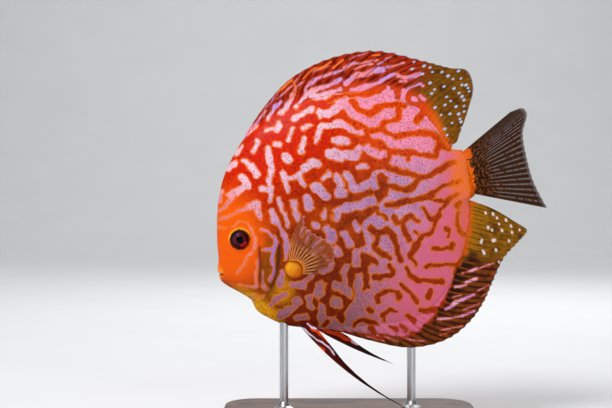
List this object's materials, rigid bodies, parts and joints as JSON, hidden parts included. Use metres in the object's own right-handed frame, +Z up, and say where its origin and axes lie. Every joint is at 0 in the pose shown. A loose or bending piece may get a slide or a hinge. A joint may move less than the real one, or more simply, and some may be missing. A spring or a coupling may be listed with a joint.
{
  "type": "discus fish",
  "caption": "Life-size still model of a tall, disc-shaped red and lilac patterned freshwater fish, swimming nose down, on a plain display stand.",
  "frame": {"origin": "centre of the stand base's underside, on the surface that the model stands on", "axes": "+Z up, -X towards the fish's snout, -Y towards the fish's left side"},
  "size_m": [0.1653, 0.084, 0.1884],
  "materials": {
    "skin": "wet-looking red-orange skin with pale lilac markings",
    "fin": "thin glossy membrane, dark brown with red streaks and pale dots",
    "eye": "clear and glossy over a dark iris",
    "stand_wood": "dark satin varnish",
    "stand_metal": "brushed"
  },
  "bodies": {
    "root": {"head": "skin", "lower_jaw": "skin", "gill_cover_left": "skin", "gill_cover_right": "skin", "torso": "skin", "tail_stem": "skin", "dorsal_fin": "fin", "anal_fin": "fin", "tail_fin": "fin", "pectoral_fin_left": "fin", "pectoral_fin_right": "fin", "pelvic_fin_left": "fin", "pelvic_fin_right": "fin", "eye_left": "eye", "eye_right": "eye", "stand_base": "stand_wood", "stand_rod_front": "stand_metal", "stand_rod_rear": "stand_metal"}
  },
  "joints": []
}
